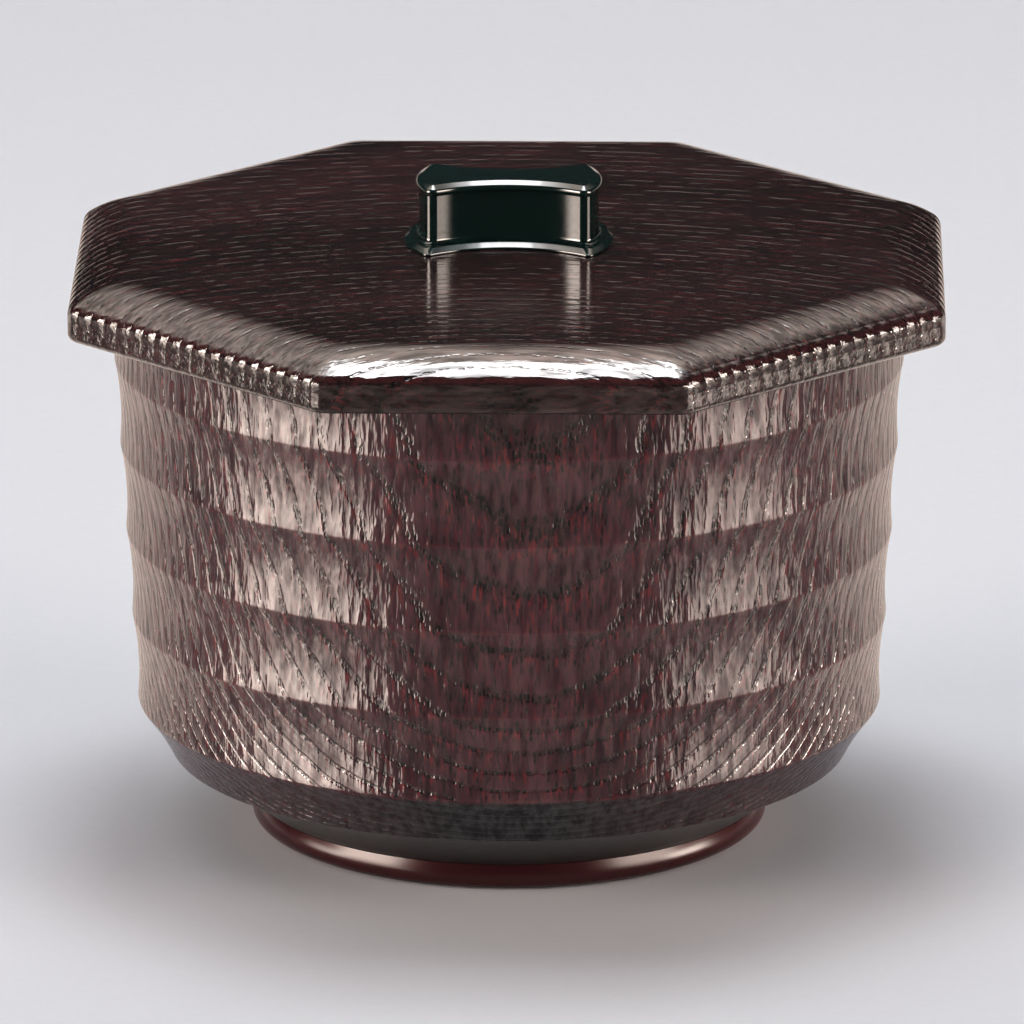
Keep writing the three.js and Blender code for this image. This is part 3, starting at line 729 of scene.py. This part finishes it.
def makeScrew(s):
    x = -s["at"]
    bottom = s["seat"] - s["headHeight"]
    piece = startPiece("knobScrewLeft", x, 0, bottom)
    pen = drawTo((x, bottom), (x + s["headRadius"] - s["headRound"], bottom))
    pen = drawRound(pen, (pen[0], pen[1] + s["headRound"]), 90, s["headSteps"])
    for goal in [(x + s["headRadius"], s["seat"]), (x + s["radius"], s["seat"]),
                 (x + s["radius"], s["seat"] + s["length"] - s["radius"]), (x, s["seat"] + s["length"])]:
        pen = drawTo(pen, goal)
    turnRound(s["turnSteps"], x)
    deselectAll()
    for size in [(s["crossLength"], s["crossWidth"]), (s["crossWidth"], s["crossLength"])]:
        deselectAll()
        bpy.ops.mesh.primitive_cube_add(size=mm, location=(x * mm, 0, bottom * mm),
                                        scale=(size[0], size[1], 2 * s["crossDepth"]))
        driver = bpy.context.object
        applyModifier(piece, "BOOLEAN", operation="DIFFERENCE", solver="EXACT", object=driver)
        bpy.data.objects.remove(driver)
    piece.data.materials.append(steelFinish)
    smooth(piece, s["smoothAngle"])
    return piece


def makeWasher(s):
    x = -s["at"]
    piece = startPiece("screwWasherLeft", x + s["washerHole"], 0, s["washerBottom"])
    pen = (x + s["washerHole"], s["washerBottom"])
    for goal in [(x + s["washerRadius"], s["washerBottom"]), (x + s["washerRadius"], s["washerTop"]),
                 (x + s["washerHole"], s["washerTop"]), (x + s["washerHole"], s["washerBottom"])]:
        pen = drawTo(pen, goal)
    bpy.ops.mesh.select_all(action="SELECT")
    bpy.ops.mesh.remove_doubles(threshold=0.01 * mm)
    bpy.ops.mesh.bevel(offset=s["washerSoft"] * mm, segments=s["washerSteps"], affect="VERTICES")
    turnRound(s["turnSteps"], x)
    deselectAll()
    piece.data.materials.append(nylonFinish)
    smooth(piece, s["washerAngle"])
    return piece


screwLeft = makeScrew(screw)
washerLeft = makeWasher(screw)
screwRight = copyTo(screwLeft, "knobScrewRight", 2 * screw["at"])
washerRight = copyTo(washerLeft, "screwWasherRight", 2 * screw["at"])
for piece, node, slot in [(screwLeft, "knob_screw_left", "screw_steel"),
                          (screwRight, "knob_screw_right", "screw_steel"),
                          (washerLeft, "screw_washer_left", "washer_nylon"),
                          (washerRight, "screw_washer_right", "washer_nylon")]:
    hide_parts(node)
    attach(piece, "lid")
print("screws and washers placed")


# Floor, lights and camera

studio = {
    "nearFloor": 0.112, "farFloor": 14, "floorSteps": 128,
    "topLight": {"place": (0, 0.15, 1.35), "aim": (0, 0, 0.12), "wide": 0.42, "deep": 0.47, "watts": 7.6},
    "warm": "#ffecdf", "cool": "#f7f9fc",
    # the surround's lights, each a product of steps: by what, between which values, from and to which level
    "warmGlow": [
        # both softboxes as the table shows them again, left and right
        [("bearing", -39, -49, 0, 9.6), ("bearing", -91, -85, 0, 1),
         ("rise", -35, -6, 0.04, 1), ("rise", 8, -2, 0, 1)],
        [("bearing", 50, 57, 0, 5.6), ("bearing", 94, 88, 0, 1),
         ("rise", -35, -6, 0.04, 1), ("rise", 8, -2, 0, 1)],
        # the softboxes themselves, strong in the lacquer and plain on the floor
        [("bearing", -46, -54, 0, 36), ("bearing", -85, -77, 0, 1),
         ("rise", -3, 11, 0, 1), ("rise", 34, 28, 0, 1), ("glossy", 0, 1, 0.2, 1)],
        [("bearing", 46, 53, 0, 23), ("bearing", 85, 77, 0, 1),
         ("rise", -3, 11, 0, 1), ("rise", 34, 28, 0, 1), ("glossy", 0, 1, 0.29, 1)],
        # low strips at both sides, seen in the lid's edge
        [("bearing", -72, -80, 0, 14), ("bearing", -100, -94, 0, 1),
         ("rise", -6, 0, 0, 1), ("rise", 10, 6, 0, 1), ("glossy", 0, 1, 0, 1)],
        [("bearing", 72, 80, 0, 40), ("bearing", 100, 94, 0, 1),
         ("rise", -6, 0, 0, 1), ("rise", 11, 7, 0, 1), ("glossy", 0, 1, 0, 1)],
        # the table, paler underfoot and behind
        [("rise", 1, -1, 0, 1), ("rise", -8, -36, 0.7, 1.25),
         ("around", 98, 130, 0.4, 1.35), ("around", 130, 170, 1, 0.8)],
        # screens behind, left and right, as the lacquer shows them
        [("rise", 21, 62, 0, 3.6), ("bearing", -95, -125, 0, 1),
         ("rise", 88, 72, 0, 1), ("glossy", 0, 1, 0, 1)],
        [("rise", 21, 62, 0, 3.6), ("bearing", 130, 155, 0, 1),
         ("rise", 88, 72, 0, 1), ("glossy", 0, 1, 0, 1)],
    ],
    "coolGlow": [
        # the same screens as they light matt surfaces
        [("rise", 21, 62, 0.02, 3.6), ("bearing", -95, -125, 0, 1),
         ("rise", 88, 72, 0, 1), ("glossy", 0, 1, 0.5, 0)],
        [("rise", 21, 62, 0.02, 3.6), ("bearing", 130, 155, 0, 1),
         ("rise", 88, 72, 0, 1), ("glossy", 0, 1, 0.5, 0)],
        # overhead softbox in the lacquer, its bright middle and its soft sides
        [("across", 0.3, 0.22, 0, 4.5), ("behind", -0.02, 0.03, 0, 1), ("behind", 0.42, 0.36, 0, 1),
         ("rise", 30, 40, 0, 1), ("glossy", 0, 1, 0, 1)],
        [("across", 0.65, 0.25, 0, 2.5), ("behind", -0.02, 0.03, 0, 1), ("behind", 0.42, 0.36, 0, 1),
         ("rise", 30, 40, 0, 1), ("glossy", 0, 1, 0, 1)],
        # dim room
        [("rise", -1, 1, 0, 0.19), ("glossy", 0, 1, 1, 0.12)],
    ],
    "backdrop": 0.74,
}

camera = {
    "focal": 480.05, "sensor": 36, "reach": 100,
    "place": (0.00066, -3.0318, 0.9736), "pitch": 16.543, "yaw": 0.9,
}


# Matt card the bowl stands on: nearly even, with a faint tooth
def paperCard():
    material, tree, place = newMaterial("mattCard")
    tooth = put(tree, "TexNoise", {"Vector": place, "Scale": 1 / (3 * mm), "Detail": 3})["Fac"]
    colour = put(tree, "Mix", {0: tooth, 6: linear("#cfd3da"), 7: linear("#d4d8df")},
                 data_type="RGBA")[2]
    closeMaterial(tree, Base_Color=colour, Roughness=0.95, Specular_IOR_Level=0.1)
    return material


def makeFloor(s):        # a disc under the bowl and a wide ring around it
    card = paperCard()
    deselectAll()
    bpy.ops.mesh.primitive_circle_add(vertices=s["floorSteps"], radius=s["nearFloor"], fill_type="NGON")
    near = bpy.context.object
    near.name = "floorNear"
    deselectAll()
    bpy.ops.mesh.primitive_circle_add(vertices=s["floorSteps"], radius=s["nearFloor"], fill_type="NOTHING")
    far = bpy.context.object
    far.name = "floorFar"
    editStart(far)
    bpy.ops.mesh.select_all(action="SELECT")
    bpy.ops.mesh.extrude_region_move()
    share = s["farFloor"] / s["nearFloor"]
    bpy.ops.transform.resize(value=(share, share, 1), center_override=(0, 0, 0))
    bpy.ops.mesh.select_all(action="SELECT")
    bpy.ops.mesh.normals_make_consistent(inside=False)
    deselectAll()
    for floor in (near, far):
        floor.data.materials.append(card)
    far.visible_glossy = False        # reflections see the surround's own table instead


def makeSurround(s):        # studio by direction, in degrees from the camera's side and from the level
    world = bpy.data.worlds.new("studio")
    bpy.context.scene.world = world
    world.use_nodes = True
    tree = world.node_tree
    tree.nodes.clear()
    axes = put(tree, "SeparateXYZ", {0: put(tree, "TexCoord")["Generated"]})
    rise = put(tree, "Math", {0: axes["Z"]}, operation="ARCSINE")[0]
    front = put(tree, "Math", {0: axes["Y"], 1: -1}, operation="MULTIPLY")[0]
    bearing = put(tree, "Math", {0: axes["X"], 1: front}, operation="ARCTAN2")[0]
    rays = put(tree, "LightPath")
    by = {"rise": put(tree, "Math", {0: rise}, operation="DEGREES")[0],
          "bearing": put(tree, "Math", {0: bearing}, operation="DEGREES")[0],
          "glossy": rays["Is Glossy Ray"]}
    by["around"] = put(tree, "Math", {0: by["bearing"]}, operation="ABSOLUTE")[0]
    aside = put(tree, "Math", {0: axes["X"], 1: axes["Z"]}, operation="DIVIDE")[0]
    by["across"] = put(tree, "Math", {0: aside}, operation="ABSOLUTE")[0]
    by["behind"] = put(tree, "Math", {0: axes["Y"], 1: axes["Z"]}, operation="DIVIDE")[0]
    seen = None
    for tone in ("warm", "cool"):
        glow = 0.0
        for light in s[tone + "Glow"]:
            level = 1.0
            for what, low, high, fromLevel, toLevel in light:
                step = put(tree, "MapRange", {"Value": by[what], "From Min": low, "From Max": high,
                                              "To Min": fromLevel, "To Max": toLevel},
                           interpolation_type="SMOOTHSTEP")[0]
                level = put(tree, "Math", {0: step, 1: level}, operation="MULTIPLY")[0]
            glow = put(tree, "Math", {0: level, 1: glow}, operation="ADD")[0]
        shine = put(tree, "Background", {"Color": linear(s[tone]), "Strength": glow})[0]
        seen = put(tree, "AddShader", {0: seen, 1: shine})[0] if seen else shine
    backdrop = put(tree, "Background", {"Color": linear(s["cool"]), "Strength": s["backdrop"]})[0]
    seen = put(tree, "MixShader", {0: rays["Is Camera Ray"], 1: seen, 2: backdrop})[0]
    put(tree, "OutputWorld", {"Surface": seen})
    world.cycles.sampling_method = "NONE"


def makeTopLight(l):        # softbox overhead, a little behind
    deselectAll()
    place = Vector(l["place"])
    bpy.ops.object.light_add(type="AREA", location=place)
    light = bpy.context.object
    light.name = "topSoftbox"
    light.rotation_euler = (place - Vector(l["aim"])).to_track_quat("Z", "Y").to_euler()
    light.data.shape = "RECTANGLE"
    light.data.size = l["wide"]
    light.data.size_y = l["deep"]
    light.data.energy = l["watts"]
    light.visible_camera = False


def makeCamera(c):
    deselectAll()
    turn = Matrix.Rotation(math.radians(c["yaw"]), 4, "Z")
    bpy.ops.object.camera_add(location=turn @ Vector(c["place"]),
                              rotation=(math.radians(90 - c["pitch"]), 0, math.radians(c["yaw"])))
    eye = bpy.context.object
    eye.data.sensor_width = c["sensor"]
    eye.data.lens = c["focal"]
    eye.data.clip_end = c["reach"]
    bpy.context.scene.camera = eye


makeFloor(studio)
makeSurround(studio)
makeTopLight(studio["topLight"])
makeCamera(camera)
bpy.context.scene.view_settings.view_transform = "Standard"
print("studio and camera set")
